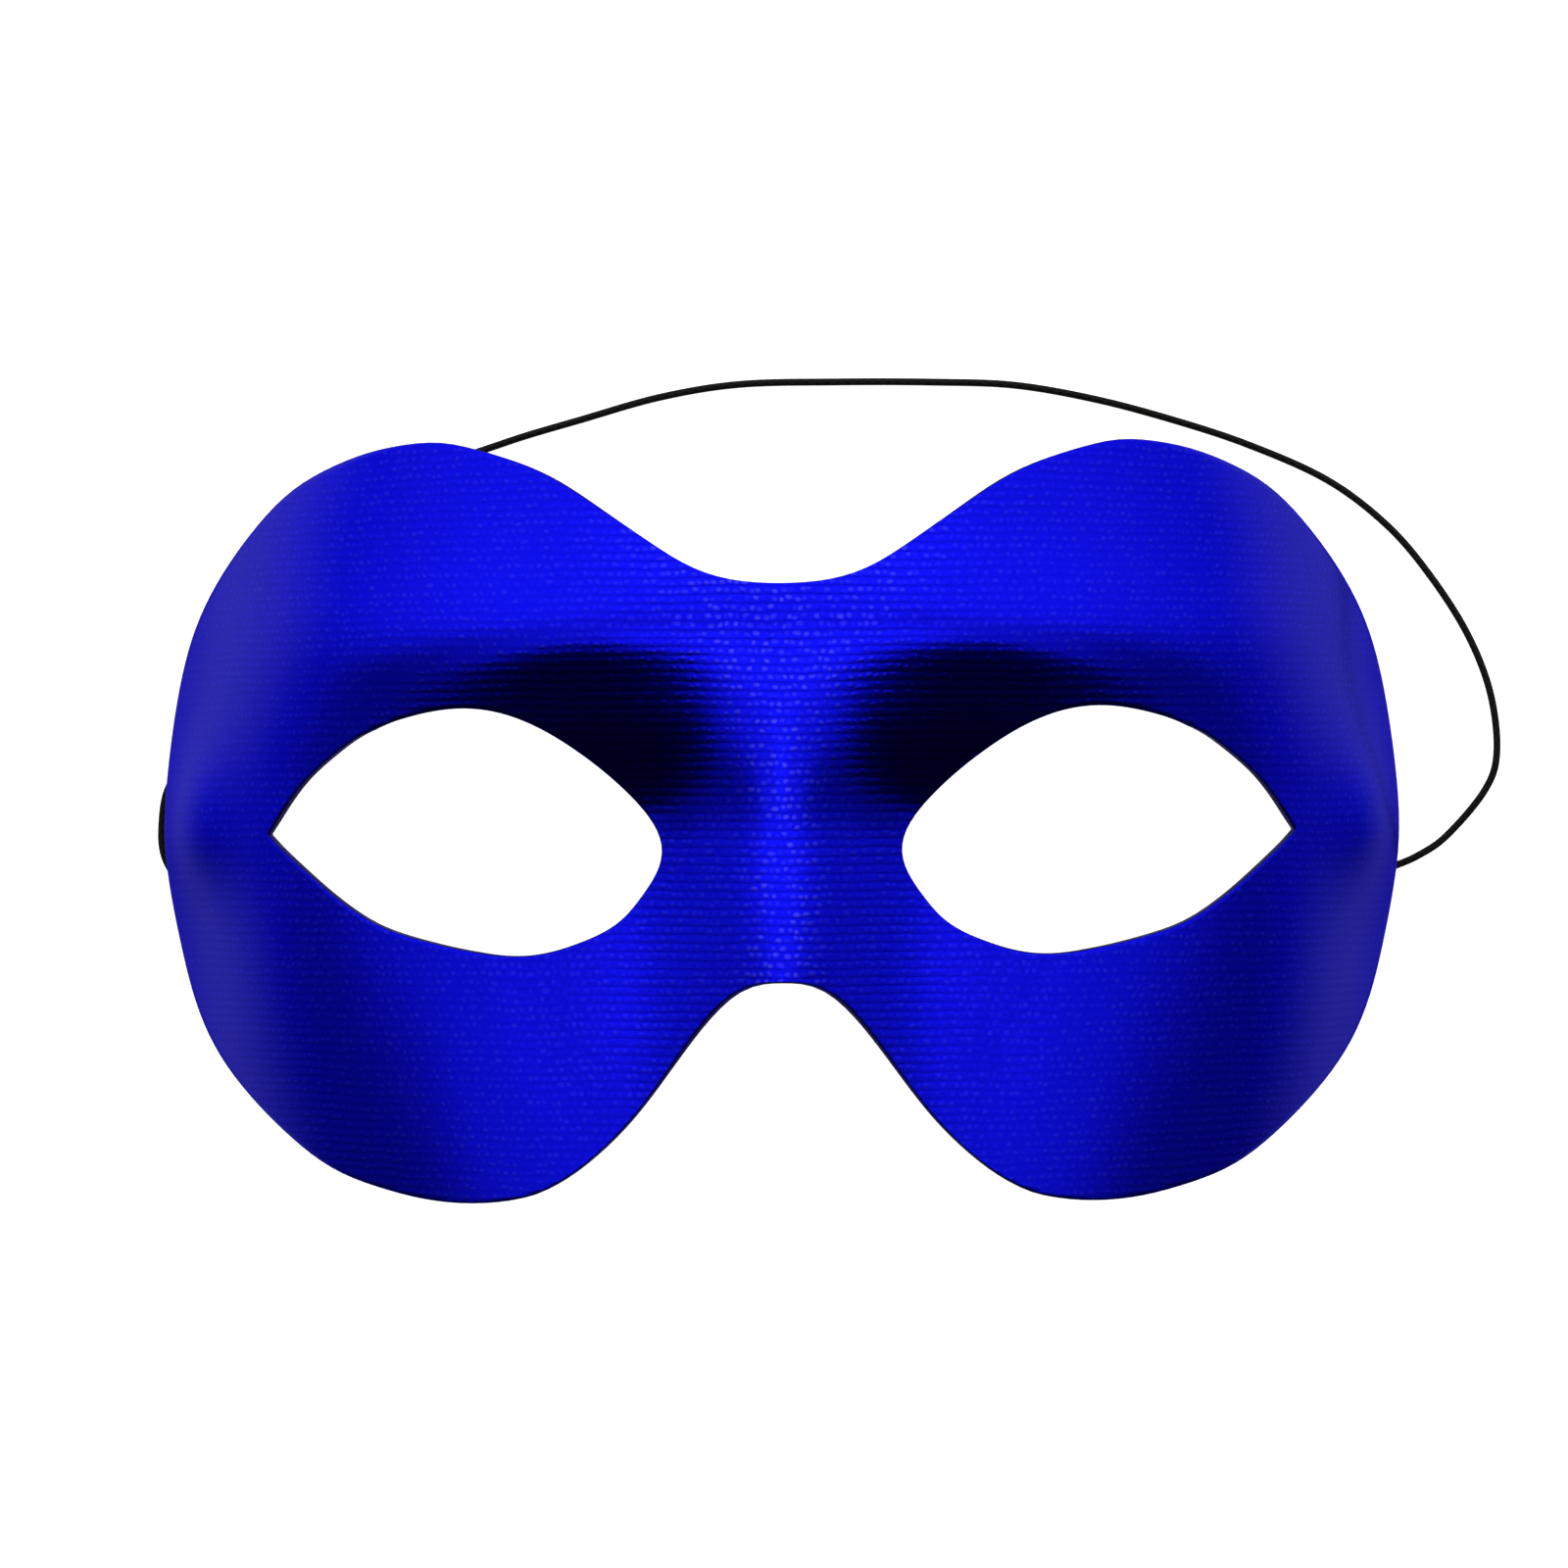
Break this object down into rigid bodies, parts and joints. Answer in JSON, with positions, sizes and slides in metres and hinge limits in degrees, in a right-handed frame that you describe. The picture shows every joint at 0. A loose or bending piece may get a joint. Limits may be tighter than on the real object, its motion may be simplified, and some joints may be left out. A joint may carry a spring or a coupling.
{
  "type": "venetian half mask",
  "caption": "Moulded half mask with eye holes and nose arch, covered in ribbed shiny fabric on a black backing, with a thin elastic head cord laid in a loop.",
  "frame": {"origin": "on the surface the mask lies on, under the middle of the mask without its cord", "axes": "+X across the mask towards the right of the picture, +Y from the cheeks to the forehead, +Z out of the mask's front"},
  "size_m": [0.1851, 0.1123, 0.0452],
  "materials": {
    "cover_fabric": "shiny ribbed knit",
    "backing_plastic": "matte",
    "pad_felt": "matte",
    "cord_elastic": "fine braid"
  },
  "bodies": {
    "root": {"fabric_cover": "cover_fabric", "backing_shell": "backing_plastic", "cord_pad_left": "pad_felt", "cord_pad_right": "pad_felt", "elastic_cord": "cord_elastic"}
  },
  "joints": []
}
